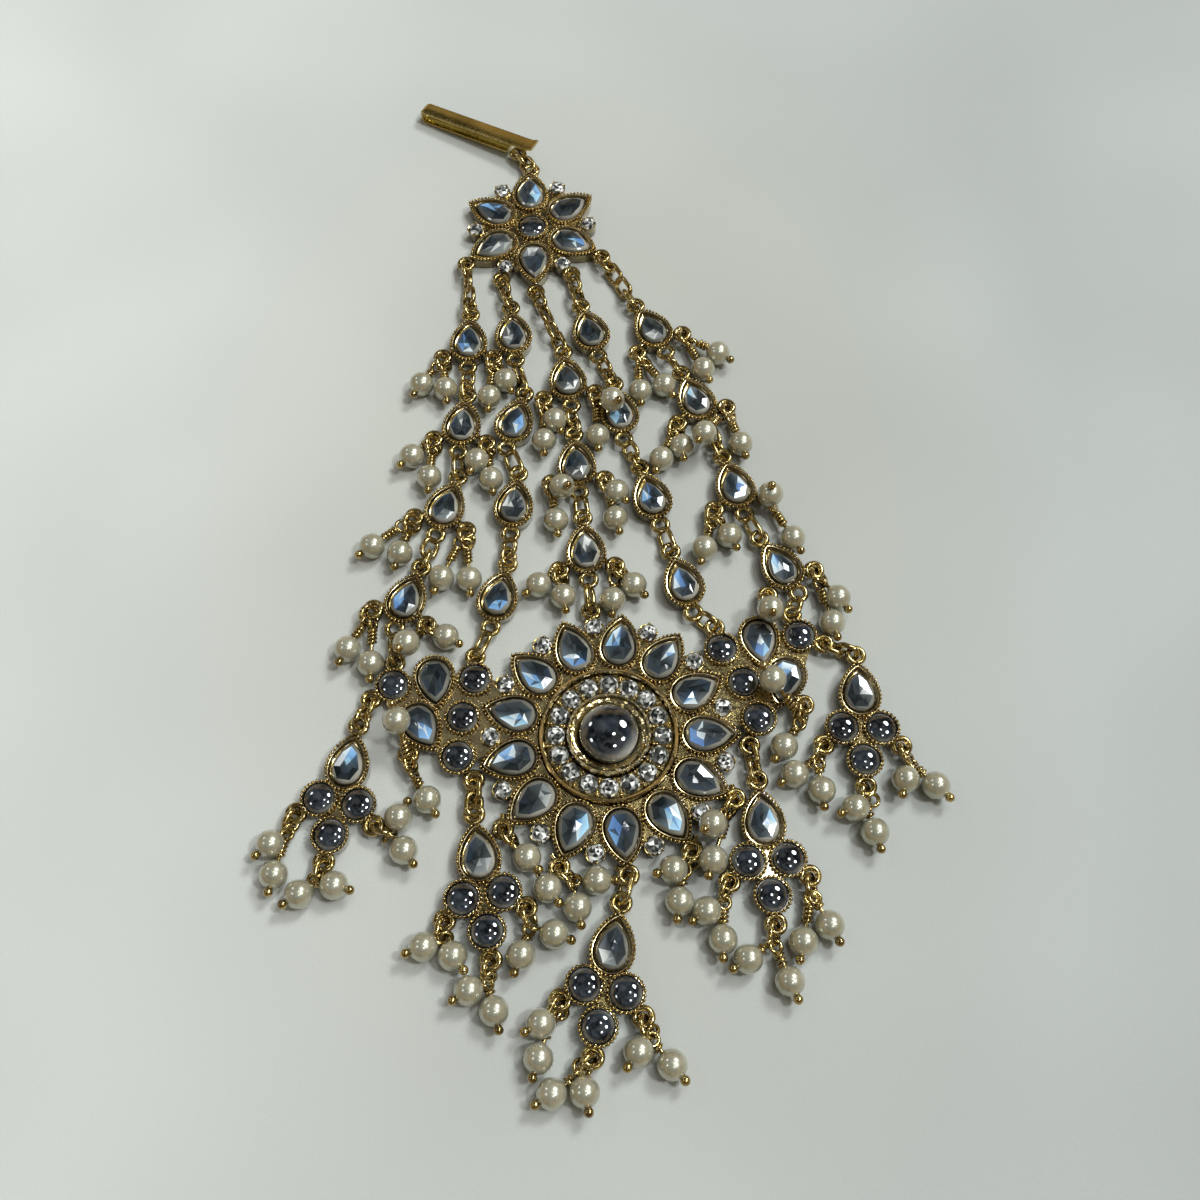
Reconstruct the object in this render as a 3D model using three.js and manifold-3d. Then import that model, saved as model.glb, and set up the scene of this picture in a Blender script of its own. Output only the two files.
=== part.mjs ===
// A jhoomar, the fan of jewels worn on the side of the head, laid out flat.
// Millimetres, +Z up. The jewel lies on z = 0 with its hook towards +Y. The layout is worked out
// from the centre of the medallion, and the group is then moved so that the middle of the jewel's
// footprint is the origin.

import * as THREE from 'three';
import { mergeVertices } from 'three/addons/utils/BufferGeometryUtils.js';
import Module from 'manifold-3d';

const wasm = await Module();
wasm.setup();

// ---------- Driving dimensions ----------

const SETTING = { height: 3.1, rim: 2.4, stoneTop: 0.55 };
const PEAR = { width: 6.4, length: 8.9, sides: 10 };
const PETAL = { width: 6.5, length: 9.2, sides: 10 };
// How fast a teardrop narrows towards its tip, and its widest half before it is scaled.
const TEARDROP = { sharpness: 0.6, fullness: 0.84 };
const ROUND = { radius: 2.7, sides: 8 };
const SMALL = { radius: 1.5, sides: 5 };
const LOOP = { radius: 1.2, wire: 0.34, thickness: 0.5, height: 1.5, sides: 6, stem: 1.3 };
// An oval ring of wire passes through two eyes, and this far past their middles.
const LINK_WIRE = { rise: 1.15, wire: 0.25, past: 0.2, shortest: 0.05, bends: 2 };
const LONGEST_RING = 9;
const PEARL = { radius: 2.05, pin: 0.25, ball: 0.7, sides: 5 };
const RING_REACH = 2.6;
// A cutter passes this far beyond the faces that it cuts.
const PAST = 1;

// Where the loops of a strand's setting are, from the setting's centre with its tip up.
const LINK_LOOPS = {
  top: [0, 5.7],
  left: [-4.4, -3.3],
  right: [4.4, -3.3],
  bottom: [0, -5.35],
};

// A drop: one pear over three round settings. Its places count from the middle of the upper two.
const DROP = {
  pear: [0, 6.0],
  rounds: [[-2.85, 0], [2.85, 0], [0, -4.9]],
  back: [[0, 4.5], [-3, 0], [0, -4.9], [3, 0]],
};
// Each loop of a drop, with the place its stem points to.
const DROP_LOOPS = {
  top: { at: [0, 11.7], stem: [0, 0] },
  left: { at: [-5.7, -2.5], stem: [0, 0] },
  right: { at: [5.7, -2.5], stem: [0, 0] },
  bottom: { at: [0, -8.7], stem: DROP.rounds[2] },
};

const FLOWER = {
  x: -13.7, y: 96.5, turn: 4, petals: 6, petalAt: 8.35, smallAt: 10.2, plate: 9.7, sides: 12, heart: 2.9,
  petal: { width: 6.6, length: 9.5, sides: 10 },
};
const FLOWER_LOOPS = {
  hook: { angle: 88, at: 14.1 },
  strand_1: { angle: 211, at: 14.2 },
  strand_2: { angle: 242, at: 12.7 },
  strand_3: { angle: 270, at: 14.4 },
  strand_4: { angle: 301, at: 12.7 },
  strand_5: { angle: 329, at: 14.2 },
};

const MEDALLION = { turn: 7.5, petals: 13, petalAt: 15.0, smallAt: 17.5, plate: 17.0, sides: 26 };
const HEART = {
  rimRadius: 10.3, rimWidth: 0.8, rimTop: 2.9, paveTop: 2.2, bezelRadius: 5.75, bezelTop: 3.8,
  bezelLean: 0.2, lip: 0.6, pocketRadius: 4.5, pocketFloor: 2.0, sides: 16,
};
const CENTRE_STONE = { radius: 4.2, girdle: 1.4, dome: 1.7, gap: 0.3, sides: 16 };

// One wing of the medallion, on the right. The other is its mirror image.
const WING = {
  rounds: [[31.1, 12.0], [18.9, 11.4], [21.2, 5.6], [22.4, -0.3]],
  pears: [{ at: [24.9, 11.6], turn: 180 }, { at: [27.3, 4.9], turn: 155 }],
  plate: [
    [13, 9], [18.5, 12.6], [31.2, 13.4], [33, 11], [29, 3], [26, 1.4], [23.4, -1.9], [20.8, -1], [13, 0],
  ],
};
// Each loop of a wing, with the middle of the setting that it is soldered to.
const WING_LOOPS = {
  outer: { at: [34.6, 10.4], stem: WING.rounds[0] },
  upper_outer: { at: [30.7, 15.8], stem: WING.rounds[0] },
  upper_inner: { at: [18.5, 15.2], stem: WING.rounds[1] },
  side: { at: [29.6, 1.1], stem: WING.pears[1].at },
  lower: { at: [20.4, -4.0], stem: WING.rounds[3] },
};
const RIM_LOOP_AT = 20.5;
const RIM_LOOPS = [90, 214.6, 242.3, 270, 297.7, 325.4];

// The strands' settings, from the flower down: centre and turn of each.
const STRANDS = {
  strand_1: [
    { x: -24.0, y: 71.4, turn: 0 },
    { x: -24.3, y: 54.5, turn: -5 },
    { x: -26.1, y: 38.8, turn: -16 },
    { x: -31.3, y: 22.4, turn: -18 },
  ],
  strand_2: [
    { x: -16.4, y: 72.9, turn: 6 },
    { x: -15.5, y: 55.0, turn: -14 },
    { x: -15.2, y: 39.2, turn: -5 },
    { x: -17.1, y: 22.8, turn: -12 },
  ],
  strand_3: [
    { x: -6.9, y: 63.5, turn: 8 },
    { x: -5.2, y: 46.8, turn: 5 },
    { x: -3.6, y: 31.0, turn: 5 },
  ],
  strand_4: [
    { x: -3.1, y: 73.5, turn: 16 },
    { x: 1.9, y: 56.9, turn: 8 },
    { x: 6.9, y: 40.6, turn: 16 },
    { x: 11.6, y: 25.2, turn: 17 },
  ],
  strand_5: [
    { x: 7.6, y: 74.0, turn: 27 },
    { x: 14.7, y: 59.4, turn: 21 },
    { x: 20.5, y: 42.6, turn: 16 },
    { x: 27.0, y: 28.0, turn: 30 },
  ],
};

// Where each strand is hung on the medallion.
const STRAND_ENDS = {
  strand_1: { side: -1, loop: 'upper_outer' },
  strand_2: { side: -1, loop: 'upper_inner' },
  strand_3: { rim: 90 },
  strand_4: { side: 1, loop: 'upper_inner' },
  strand_5: { side: 1, loop: 'upper_outer' },
};

// The drops under the medallion: middle and turn of each, and the loop that carries it.
const DROPS = {
  drop_1: { x: -39.0, y: -9.9, turn: -9, hung: { side: -1, loop: 'outer' } },
  drop_2: { x: -17.6, y: -23.2, turn: 9, hung: { side: -1, loop: 'lower' } },
  drop_3: { x: -0.6, y: -35.6, turn: -11, hung: { rim: 270 } },
  drop_4: { x: 22.4, y: -18.3, turn: 4, hung: { side: 1, loop: 'lower' } },
  drop_5: { x: 37.5, y: 1.2, turn: -1, hung: { side: 1, loop: 'outer' } },
};

// Pearls on pins, by the loop that holds them. Each pearl is [x, y] as it lies, with a height where
// it lies on something. On a drop or on the medallion the pins share a ring that hangs in the loop.
const LINK_PEARLS = {
  strand_1_link_1: { left: [[-31.6, 62.2], [-27.5, 61.2]], right: [[-20.0, 59.6], [-17.4, 63.0]] },
  strand_1_link_2: { left: [[-32.3, 48.0], [-29.2, 44.0]], right: [[-21.6, 47.2], [-19.1, 43.6]] },
  strand_1_link_3: { left: [[-37.5, 31.4], [-33.0, 30.1]], right: [[-26.2, 25.8], [-21.8, 25.6]] },
  strand_1_link_4: { left: [[-39.8, 13.8], [-36.1, 11.4]], right: [[-30.4, 13.6, 5.0], [-24.9, 15.8]] },
  strand_3_link_1: { left: [[-10.6, 51.0], [-8.9, 55.0]], right: [[-1.7, 51.9], [0.7, 56.8, 5.5]] },
  strand_3_link_2: { left: [[-7.4, 41.2, 3.9], [-8.4, 36.0]], right: [[1.4, 41.3], [1.2, 36.4]] },
  strand_3_link_3: { left: [[-10.9, 24.6], [-7.0, 22.6]], right: [[4.0, 24.6], [0.7, 22.0]] },
  strand_5_link_1: { left: [[5.5, 60.8], [9.6, 62.0]], right: [[19.0, 68.6], [16.3, 65.3]] },
  strand_5_link_2: { left: [[8.8, 47.5], [12.2, 49.9]], right: [[15.8, 50.7, 4.8], [22.0, 50.4]] },
  strand_5_link_3: { left: [[15.3, 31.0], [19.3, 33.3]], right: [[26.0, 39.7, 4.0], [29.4, 32.8]] },
  strand_5_link_4: { left: [[24.6, 19.0, 5.4]], right: [[34.5, 18.2], [35.7, 22.4]] },
};
const DROP_PEARLS = {
  drop_1: {
    left: [[-48.1, -16.0], [-47.1, -20.3]],
    bottom: [[-43.3, -23.0], [-38.5, -21.8]],
    right: [[-30.2, -12.2], [-29.1, -16.9]],
  },
  drop_2: {
    left: [[-25.5, -30.1], [-21.4, -31.3]],
    bottom: [[-19.0, -35.8], [-15.5, -38.4]],
    right: [[-12.1, -31.2], [-7.6, -28.4]],
  },
  drop_3: {
    left: [[-9.2, -40.0], [-9.4, -44.3]],
    bottom: [[-7.6, -48.6], [-3.3, -48.4]],
    right: [[3.8, -43.5], [8.2, -45.1]],
  },
  drop_4: {
    left: [[13.5, -25.3], [15.6, -29.1]],
    bottom: [[18.9, -31.7], [24.4, -34.6]],
    right: [[26.6, -29.4], [30.4, -27.2]],
  },
  drop_5: {
    left: [[27.1, -5.8], [30.8, -8.2]],
    bottom: [[35.4, -10.8], [37.9, -14.3]],
    right: [[43.1, -6.6], [47.4, -7.5]],
  },
};
const MEDALLION_PEARLS = {
  wing_left_pearls: {
    hung: { side: -1, loop: 'side' }, heading: -75, pearls: [[-30.9, 1.2, 5.5], [-26.2, -9.6]],
  },
  wing_right_pearls: {
    hung: { side: 1, loop: 'side' }, heading: -100, pearls: [[24.2, 7.6, 5.5], [25.8, -1.6]],
  },
  rim_pearls_1: { hung: { rim: 214.6 }, pearls: [[-11.6, -17.9], [-8.6, -22.2]] },
  rim_pearls_2: { hung: { rim: 242.3 }, pearls: [[-1.7, -21.1], [-4.4, -24.8]] },
  rim_pearls_3: { hung: { rim: 297.7 }, pearls: [[9.0, -19.6], [9.8, -24.0]] },
  rim_pearls_4: { hung: { rim: 325.4 }, pearls: [[14.6, -13.7, 4.5], [14.6, -18.4, 3.1]] },
};

// The hook: a flat strip folded into a long narrow U, with one arm over the other. It lies on its
// bend, and its eye is held up a little by the ring through it.
const HOOK = {
  bend: [-35.6, 125.8], turn: -28, length: 25.2, thickness: 0.6, gap: 1.6, width: 2.8, pitch: 3.2,
  eyeArm: 19.6, flare: 0.5, flareLength: 1.2, eye: [21.8, -0.9], eyeGrip: 1,
};

// ---------- Materials ----------

const GOLD = new THREE.MeshStandardMaterial({ color: 0x9a7530, roughness: 0.35, metalness: 1.0 });
const STONE = new THREE.MeshStandardMaterial({ color: 0x2c333d, roughness: 0.08, metalness: 0.1 });
const CREAM = new THREE.MeshStandardMaterial({ color: 0xe8e0cb, roughness: 0.3, metalness: 0.0 });

// ---------- Solids ----------

const radians = THREE.MathUtils.degToRad;

function toSolid(geometry) {
  const bare = geometry.index ? geometry.toNonIndexed() : geometry.clone();
  for (const name of ['normal', 'uv']) bare.deleteAttribute(name);
  const merged = mergeVertices(bare, 1e-4);
  const mesh = new wasm.Mesh({
    numProp: 3,
    vertProperties: new Float32Array(merged.attributes.position.array),
    triVerts: new Uint32Array(merged.index.array),
  });
  return new wasm.Manifold(mesh);
}

function toMesh(name, solid, material) {
  const { vertProperties, triVerts } = solid.getMesh();
  const geometry = new THREE.BufferGeometry();
  geometry.setAttribute('position', new THREE.BufferAttribute(new Float32Array(vertProperties), 3));
  geometry.setIndex(new THREE.BufferAttribute(new Uint32Array(triVerts), 1));
  const mesh = new THREE.Mesh(geometry, material);
  mesh.name = name;
  return mesh;
}

const join = (solids) => solids.reduce((whole, next) => whole.add(next));

const polar = (at, angle) => [at * Math.cos(radians(angle)), at * Math.sin(radians(angle))];

// A point given in a piece's own plane, seen from the piece's place and turn.
function placed([x, y], place) {
  const at = new THREE.Vector2(x, y).rotateAround(new THREE.Vector2(), radians(place.turn));
  return [at.x + place.x, at.y + place.y];
}

// A teardrop outline with its tip up: a circle's path pinched towards the tip.
function pearPoints({ width, length, sides }) {
  const { sharpness, fullness } = TEARDROP;
  return Array.from({ length: sides }, (_, i) => {
    const angle = (2 * Math.PI * i) / sides;
    const pinch = Math.sin(angle) * Math.abs(Math.sin(angle / 2)) ** sharpness / fullness;
    return new THREE.Vector2(-pinch * width / 2, Math.cos(angle) * length / 2);
  });
}

function roundPoints({ radius, sides }) {
  return Array.from({ length: sides }, (_, i) => new THREE.Vector2(...polar(radius, (360 * i) / sides)));
}

// A closed body through rings of equal count, each { points, z }, with flat ends.
function stack(rings) {
  const count = rings[0].points.length;
  const corners = rings.flatMap(({ points, z }) => points.map((p) => [p.x, p.y, z]));
  const faces = THREE.ShapeUtils.triangulateShape(rings[0].points, []);
  const last = (rings.length - 1) * count;
  const triangles = faces.flatMap(([a, b, c]) => [[a, c, b], [last + a, last + b, last + c]]);
  for (let row = 0; row < rings.length - 1; row += 1) {
    for (let i = 0; i < count; i += 1) {
      const [a, b] = [row * count + i, row * count + ((i + 1) % count)];
      triangles.push([a, b, b + count], [a, b + count, a + count]);
    }
  }
  const geometry = new THREE.BufferGeometry();
  geometry.setAttribute('position', new THREE.Float32BufferAttribute(corners.flat(), 3));
  geometry.setIndex(triangles.flat());
  return toSolid(geometry);
}

const shrunk = (points, scale) => points.map((p) => p.clone().multiplyScalar(scale));

// A stone in its bezel: straight walls up to the rim, then the sloping crown of the stone.
function setting(points) {
  return stack([
    { points, z: 0 },
    { points, z: SETTING.rim },
    { points: shrunk(points, SETTING.stoneTop), z: SETTING.height },
  ]);
}

function plate(points, bottom, top) {
  return stack([{ points, z: bottom }, { points, z: top }]);
}

// A soldered eye that lies flat, with a stem to the piece that it belongs to.
function eyeAt([x, y], body) {
  const { radius, wire, thickness, height, sides, stem } = LOOP;
  const outer = roundPoints({ radius: radius + wire, sides }).slice(1);
  const foot = radius + stem;
  const outline = [new THREE.Vector2(foot, wire), ...outer, new THREE.Vector2(foot, -wire)];
  const shape = new THREE.Shape(outline);
  shape.holes.push(new THREE.Path(roundPoints({ radius: radius - wire, sides })));
  const flat = new THREE.ExtrudeGeometry(shape, { depth: thickness, bevelEnabled: false });
  flat.rotateZ(Math.atan2(body[1] - y, body[0] - x)).translate(x, y, height - thickness / 2);
  return toSolid(flat);
}

// An oval's outline: half circles of `radius` about two middles, `half` each side of its centre.
function ovalPoints(half, radius) {
  const points = [];
  for (const [side, start] of [[1, -90], [-1, 90]]) {
    for (let i = 0; i <= LINK_WIRE.bends; i += 1) {
      const [x, y] = polar(radius, start + (180 * i) / LINK_WIRE.bends);
      points.push(new THREE.Vector2(side * half + x, y));
    }
  }
  return points;
}

// An oval ring of wire standing upright through two eyes, `from` and `to`.
function ovalRing(from, to) {
  const { rise, wire, past, shortest } = LINK_WIRE;
  const span = Math.hypot(to[0] - from[0], to[1] - from[1]);
  const half = Math.max(span / 2 + past - rise, shortest);
  const shape = new THREE.Shape(ovalPoints(half, rise + wire));
  shape.holes.push(new THREE.Path(ovalPoints(half, rise - wire)));
  const flat = new THREE.ExtrudeGeometry(shape, { depth: 2 * wire, bevelEnabled: false });
  flat.translate(0, 0, -wire).rotateX(Math.PI / 2);
  flat.rotateZ(Math.atan2(to[1] - from[1], to[0] - from[0]));
  flat.translate((from[0] + to[0]) / 2, (from[1] + to[1]) / 2, LOOP.height);
  return toSolid(flat);
}

// A chain of oval rings that share their ends.
function ovalChain(from, to, count) {
  const at = (part) => [from[0] + (to[0] - from[0]) * part, from[1] + (to[1] - from[1]) * part];
  return join(Array.from({ length: count }, (_, i) => ovalRing(at(i / count), at((i + 1) / count))));
}

// A pearl on a head pin: wire from `start`, the pearl, and the pin's ball beyond it.
function pinnedPearl(start, [x, y, z = PEARL.radius]) {
  const middle = new THREE.Vector3(x, y, z);
  const axis = middle.clone().sub(new THREE.Vector3(...start, LOOP.height));
  const reach = axis.length();
  const cap = PEARL.radius * Math.SQRT1_2;
  const head = PEARL.radius + PEARL.ball;
  const profile = [
    [0, -reach], [PEARL.pin, Math.max(-PEARL.radius, -reach + PEARL.pin)], [cap, -cap], [PEARL.radius, 0],
    [cap, cap], [PEARL.pin, PEARL.radius], [PEARL.ball, head], [0, head + PEARL.ball],
  ];
  const lathe = new THREE.LatheGeometry(profile.map((p) => new THREE.Vector2(...p)), PEARL.sides);
  const turn = new THREE.Quaternion().setFromUnitVectors(new THREE.Vector3(0, 1, 0), axis.normalize());
  return toSolid(lathe.applyQuaternion(turn).translate(x, y, z));
}

// The point at a distance from `from` on the way to `to`.
function towards(from, to, distance) {
  const heading = Math.atan2(to[1] - from[1], to[0] - from[0]);
  return [from[0] + Math.cos(heading) * distance, from[1] + Math.sin(heading) * distance];
}

// Pearls on the ring that hangs in a loop. It lies towards them, or at its own heading.
function pearlPair(loop, pearls, heading) {
  const mean = [0, 1].map((i) => pearls.reduce((sum, p) => sum + p[i], 0) / pearls.length);
  const aim = heading === undefined ? mean : placed([1, 0], { x: loop[0], y: loop[1], turn: heading });
  const end = towards(loop, aim, RING_REACH);
  return join([ovalRing(loop, end), ...pearls.map((pearl) => pinnedPearl(end, pearl))]);
}

// ---------- The pieces ----------

const medallionPlace = { x: 0, y: 0, turn: MEDALLION.turn };

// A loop of the medallion in the layout: on a wing, or on the rim at an angle.
function medallionLoop({ side: wing, loop, rim }) {
  if (rim !== undefined) return placed(polar(RIM_LOOP_AT, rim), medallionPlace);
  const [x, y] = WING_LOOPS[loop].at;
  return placed([wing * x, y], medallionPlace);
}

function moved(solid, [x, y], turn = 0) {
  return solid.rotate([0, 0, turn]).translate([x, y, 0]);
}

function strandLink(name, place, next) {
  const loops = Object.fromEntries(
    Object.entries(LINK_LOOPS).map(([key, at]) => [key, placed(at, place)]),
  );
  const parts = [moved(setting(pearPoints(PEAR)), [place.x, place.y], place.turn)];
  const middle = [place.x, place.y];
  const grip = towards(loops.bottom, next, LOOP.radius);
  parts.push(eyeAt(loops.top, middle), eyeAt(loops.bottom, middle), ovalRing(grip, next));
  for (const [key, pearls] of Object.entries(LINK_PEARLS[name] ?? {})) {
    parts.push(eyeAt(loops[key], middle));
    for (const pearl of pearls) parts.push(pinnedPearl(towards(loops[key], pearl, LOOP.radius), pearl));
  }
  return join(parts);
}

function drop(place) {
  const parts = [moved(setting(pearPoints(PEAR)), DROP.pear)];
  parts.push(plate(DROP.back.map((p) => new THREE.Vector2(...p)), 0, SETTING.rim));
  for (const at of DROP.rounds) parts.push(moved(setting(roundPoints(ROUND)), at));
  for (const { at, stem } of Object.values(DROP_LOOPS)) parts.push(eyeAt(at, stem));
  return moved(join(parts), [place.x, place.y], place.turn);
}

function flower() {
  const { petals, petal, petalAt, smallAt, plate: plateRadius, sides, heart, x, y, turn } = FLOWER;
  const parts = [
    plate(roundPoints({ radius: plateRadius, sides }), 0, SETTING.rim),
    setting(roundPoints({ radius: heart, sides: ROUND.sides })),
  ];
  for (let i = 0; i < petals; i += 1) {
    const angle = 90 + (360 / petals) * i;
    parts.push(moved(setting(pearPoints(petal)), polar(petalAt, angle), angle - 90));
    parts.push(moved(setting(roundPoints(SMALL)), polar(smallAt, angle + 180 / petals)));
  }
  for (const { angle, at } of Object.values(FLOWER_LOOPS)) parts.push(eyeAt(polar(at, angle), [0, 0]));
  return moved(join(parts), [x, y], turn);
}

function medallionHeart() {
  const h = HEART;
  const profile = [
    [0, 0], [h.rimRadius, 0], [h.rimRadius, h.rimTop], [h.rimRadius - h.rimWidth, h.rimTop],
    [h.rimRadius - h.rimWidth, h.paveTop], [h.bezelRadius + h.bezelLean, h.paveTop],
    [h.bezelRadius, h.bezelTop], [h.pocketRadius, h.bezelTop - h.lip],
    [h.pocketRadius, h.pocketFloor], [0, h.pocketFloor],
  ];
  const lathe = new THREE.LatheGeometry(profile.map((p) => new THREE.Vector2(...p)), h.sides);
  return toSolid(lathe.rotateX(Math.PI / 2));
}

function wing(sign) {
  const mirror = ([x, y]) => [sign * x, y];
  const outline = WING.plate.map((p) => new THREE.Vector2(...mirror(p)));
  const parts = [plate(sign > 0 ? outline.reverse() : outline, 0, SETTING.rim)];
  for (const at of WING.rounds) parts.push(moved(setting(roundPoints(ROUND)), mirror(at)));
  for (const { at, turn } of WING.pears) {
    parts.push(moved(setting(pearPoints(PEAR)), mirror(at), sign * turn));
  }
  for (const { at, stem } of Object.values(WING_LOOPS)) parts.push(eyeAt(mirror(at), mirror(stem)));
  return join(parts);
}

function medallion() {
  const { petals, petalAt, smallAt, plate: plateRadius, sides, turn } = MEDALLION;
  const disc = plate(roundPoints({ radius: plateRadius, sides }), 0, SETTING.rim);
  const wellPoints = roundPoints({ radius: HEART.bezelRadius, sides: HEART.sides });
  const well = plate(wellPoints, -PAST, SETTING.rim + PAST);
  const parts = [disc.subtract(well), medallionHeart(), wing(-1), wing(1)];
  for (let i = 0; i < petals; i += 1) {
    const angle = 270 + (360 / petals) * i;
    parts.push(moved(setting(pearPoints(PETAL)), polar(petalAt, angle), angle - 90));
    parts.push(moved(setting(roundPoints(SMALL)), polar(smallAt, angle + 180 / petals)));
  }
  for (const angle of RIM_LOOPS) parts.push(eyeAt(polar(RIM_LOOP_AT, angle), [0, 0]));
  return moved(join(parts), [0, 0], turn);
}

function centreStone() {
  const { radius, girdle, dome, gap, sides } = CENTRE_STONE;
  const floor = HEART.pocketFloor + gap;
  const profile = [[0, floor], [radius, floor], [radius, floor + girdle]];
  for (const angle of [30, 60]) {
    profile.push([radius * Math.cos(radians(angle)), floor + girdle + dome * Math.sin(radians(angle))]);
  }
  profile.push([0, floor + girdle + dome]);
  const lathe = new THREE.LatheGeometry(profile.map((p) => new THREE.Vector2(...p)), sides);
  return toSolid(lathe.rotateX(Math.PI / 2));
}

// The strip's outline along its length and across its gap: long arm, round bend, eye arm.
function hookOutline() {
  const { length, thickness, gap, eyeArm, flare, flareLength } = HOOK;
  const outer = gap / 2 + thickness;
  const points = [[length, outer + flare], [length - flareLength, outer]];
  for (const angle of [90, 126, 162, 198, 234, 270]) {
    points.push([outer + outer * Math.cos(radians(angle)), outer * Math.sin(radians(angle))]);
  }
  points.push([eyeArm, -outer], [eyeArm, -outer + thickness]);
  for (const angle of [270, 225, 180, 135, 90]) {
    points.push([outer + (gap / 2) * Math.cos(radians(angle)), (gap / 2) * Math.sin(radians(angle))]);
  }
  points.push([length - flareLength, gap / 2], [length, gap / 2 + flare]);
  return points.map((p) => new THREE.Vector2(...p)).reverse();
}

const hookPlace = { x: HOOK.bend[0], y: HOOK.bend[1], turn: HOOK.turn };
const hookEye = placed(HOOK.eye, hookPlace);

function hook() {
  const { width, pitch, bend, turn, eyeArm, eyeGrip } = HOOK;
  const outline = new THREE.Shape(hookOutline());
  const strip = new THREE.ExtrudeGeometry(outline, { depth: width, bevelEnabled: false });
  strip.translate(0, 0, -width / 2).rotateX(Math.PI / 2).rotateY(radians(-pitch));
  strip.computeBoundingBox();
  strip.translate(0, 0, -strip.boundingBox.min.z);
  strip.rotateZ(radians(turn)).translate(bend[0], bend[1], 0);
  return join([toSolid(strip), eyeAt(hookEye, placed([eyeArm - eyeGrip, 0], hookPlace))]);
}

// ---------- The assembly ----------

const jewel = new THREE.Group();
const add = (name, solid, material) => jewel.add(toMesh(name, solid, material));

add('hook', hook(), GOLD);
add('flower', flower(), GOLD);
add('medallion', medallion(), GOLD);
add('centre_stone', centreStone(), STONE);

const flowerLoop = (key) => placed(polar(FLOWER_LOOPS[key].at, FLOWER_LOOPS[key].angle), FLOWER);
add('hook_ring', ovalRing(hookEye, flowerLoop('hook')), GOLD);

for (const [strand, places] of Object.entries(STRANDS)) {
  const start = flowerLoop(strand);
  const first = placed(LINK_LOOPS.top, places[0]);
  const length = Math.hypot(first[0] - start[0], first[1] - start[1]);
  add(`${strand}_top_ring`, ovalChain(start, first, length > LONGEST_RING ? 2 : 1), GOLD);
  places.forEach((place, i) => {
    const name = `${strand}_link_${i + 1}`;
    const below = places[i + 1];
    const next = below ? placed(LINK_LOOPS.top, below) : medallionLoop(STRAND_ENDS[strand]);
    add(name, strandLink(name, place, next), GOLD);
  });
}

for (const [name, place] of Object.entries(DROPS)) {
  add(name, drop(place), GOLD);
  add(`${name}_ring`, ovalRing(medallionLoop(place.hung), placed(DROP_LOOPS.top.at, place)), GOLD);
  for (const [key, pearls] of Object.entries(DROP_PEARLS[name])) {
    add(`${name}_${key}_pearls`, pearlPair(placed(DROP_LOOPS[key].at, place), pearls), CREAM);
  }
}

for (const [name, { hung, pearls, heading }] of Object.entries(MEDALLION_PEARLS)) {
  add(name, pearlPair(medallionLoop(hung), pearls, heading), CREAM);
}

// The origin is the middle of the jewel's footprint, on the surface it lies on.
const box = new THREE.Box3().setFromObject(jewel);
const middle = box.getCenter(new THREE.Vector3());
jewel.position.set(-middle.x, -middle.y, -box.min.z);
jewel.updateMatrixWorld(true);

export default jewel;
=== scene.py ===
"""A jhoomar, the fan of jewels worn on the side of the head, laid out on a pale table.

Sizes are in millimetres, and a mesh is turned into metres when it is made. Places come from the
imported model: the stones' crowns, the eyes, the rings and the head pins are found in its faces,
and each is rebuilt there with its beading, wire, facets and polish.
"""
import math
import random
from collections import namedtuple
from itertools import combinations

import bpy
from mathutils import Matrix, Vector, noise


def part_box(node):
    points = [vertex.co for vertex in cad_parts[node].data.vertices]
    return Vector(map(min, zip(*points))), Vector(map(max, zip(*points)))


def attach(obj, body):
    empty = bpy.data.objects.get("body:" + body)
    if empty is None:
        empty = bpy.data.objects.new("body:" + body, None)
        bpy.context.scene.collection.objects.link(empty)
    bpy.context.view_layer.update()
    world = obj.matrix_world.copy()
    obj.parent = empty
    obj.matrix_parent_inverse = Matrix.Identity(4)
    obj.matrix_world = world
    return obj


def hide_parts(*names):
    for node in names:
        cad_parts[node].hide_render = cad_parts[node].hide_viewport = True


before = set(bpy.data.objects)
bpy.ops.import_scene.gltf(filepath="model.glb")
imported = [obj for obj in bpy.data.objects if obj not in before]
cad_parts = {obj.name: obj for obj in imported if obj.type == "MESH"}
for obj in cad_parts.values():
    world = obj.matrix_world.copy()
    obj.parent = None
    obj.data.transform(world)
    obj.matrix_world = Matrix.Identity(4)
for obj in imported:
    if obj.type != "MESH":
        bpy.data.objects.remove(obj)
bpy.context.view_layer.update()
scene = bpy.context.scene
chance = random.Random(11)

MM = 0.001
UP = Vector((0, 0, 1))

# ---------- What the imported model's faces say ----------

NEAR = 0.01
# Each setting's stone ends in a level crown, this share of the setting's width.
CROWN_HEIGHT, CROWN_SHARE = 3.1, 0.55
CROWN_KINDS = {5: "small", 8: "round", 10: "pear"}
PLATE_HEIGHT = 2.4
# An eye is a flat washer with a six-sided hole. A ring is an upright oval with a level top.
EYE_TOP, EYE_HOLE, WIRE_HEIGHT = 1.75, 1.72, 1.5
RING_TOP, RING_RISE, RING_WIDTH = 2.9, 1.15, 0.5
# A head pin's ball ends in a tip where this many faces meet.
PEARL_RADIUS, BALL, PIN_SIDES = 2.05, 0.7, 5

Seat = namedtuple("Seat", "kind middle turn width length")
Ring = namedtuple("Ring", "middle way reach")
Pin = namedtuple("Pin", "pearl way")


def faces_of(node):
    """The node's faces in millimetres, each a tuple of corners, with shared corners alike."""
    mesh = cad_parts[node].data
    points = [tuple(round(value / MM, 3) + 0.0 for value in v.co) for v in mesh.vertices]
    return [tuple(points[i] for i in face.vertices) for face in mesh.polygons]


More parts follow.
